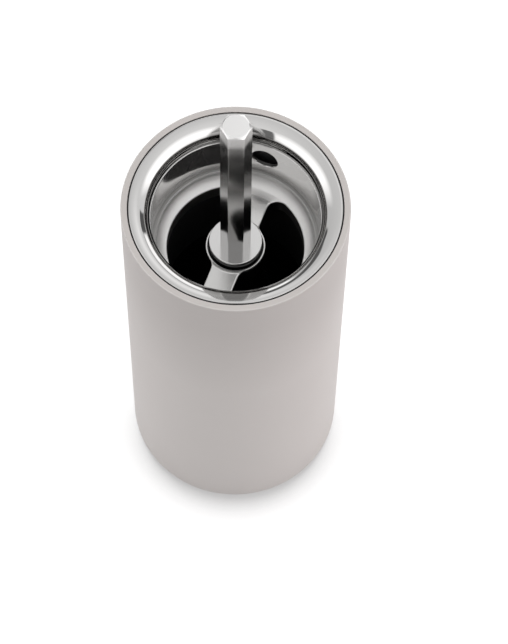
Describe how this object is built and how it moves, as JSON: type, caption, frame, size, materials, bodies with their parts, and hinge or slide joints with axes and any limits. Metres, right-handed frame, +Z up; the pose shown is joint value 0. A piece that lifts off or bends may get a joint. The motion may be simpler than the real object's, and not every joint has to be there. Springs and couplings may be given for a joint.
{
  "type": "spice mill",
  "caption": "Round hand-cranked spice mill, lid and crank off: beaker body and a lift-out steel burr unit with a hexagon drive post.",
  "frame": {"origin": "middle of the foot pad's underside, on the surface that the mill stands on", "axes": "+Z up along the body and the drive shaft; -Y towards the side that the picture is taken from"},
  "size_m": [0.068, 0.068, 0.1938],
  "materials": {
    "shell_coat": "matte",
    "soft_black": "matte",
    "polished_steel": "polished",
    "plain_steel": "satin",
    "burr_steel": "satin",
    "black_moulding": "matte",
    "nut_brass": "satin"
  },
  "bodies": {
    "body": {"body_shell": "shell_coat", "base_pad": "soft_black"},
    "mill_unit": {"funnel_ring": "polished_steel", "seal_ring": "soft_black", "hopper_cup": "polished_steel", "bearing_bridge": "polished_steel", "bridge_key_1": "plain_steel", "bridge_key_2": "plain_steel", "upper_bush": "black_moulding", "lower_bush": "black_moulding", "mill_housing": "black_moulding", "outer_burr": "burr_steel", "clamp_ring": "plain_steel", "clamp_screw_1": "plain_steel", "clamp_screw_2": "plain_steel", "clamp_screw_3": "plain_steel"},
    "drive_shaft": {"drive_shaft": "polished_steel", "shaft_collar": "polished_steel", "thrust_washer": "plain_steel", "burr_spring": "plain_steel", "end_clip": "plain_steel"},
    "inner_burr": {"inner_burr": "burr_steel", "click_plate": "plain_steel"},
    "adjusting_nut": {"adjusting_nut": "nut_brass", "click_pin_1": "plain_steel", "click_pin_2": "plain_steel", "click_spring_1": "plain_steel", "click_spring_2": "plain_steel"}
  },
  "joints": [
    {"name": "unit_lift", "type": "slide", "parent": "body", "child": "mill_unit", "axis": [0, 0, 1], "range_m": [0, 0.11]},
    {"name": "shaft_turn", "type": "hinge", "parent": "mill_unit", "child": "drive_shaft", "pos_m": [0, 0, 0.11], "axis": [0, 0, 1], "continuous": true},
    {"name": "burr_slide", "type": "slide", "parent": "drive_shaft", "child": "inner_burr", "axis": [0, 0, -1], "range_m": [0, 0.0015], "deforming": ["burr_spring"]},
    {"name": "nut_turn", "type": "hinge", "parent": "inner_burr", "child": "adjusting_nut", "pos_m": [0, 0, 0.063], "axis": [0, 0, -1], "range_deg": [0, 540]}
  ],
  "couplings": [
    {"joint": "nut_turn", "follows": "burr_slide", "rad_per_m": 6283}
  ]
}
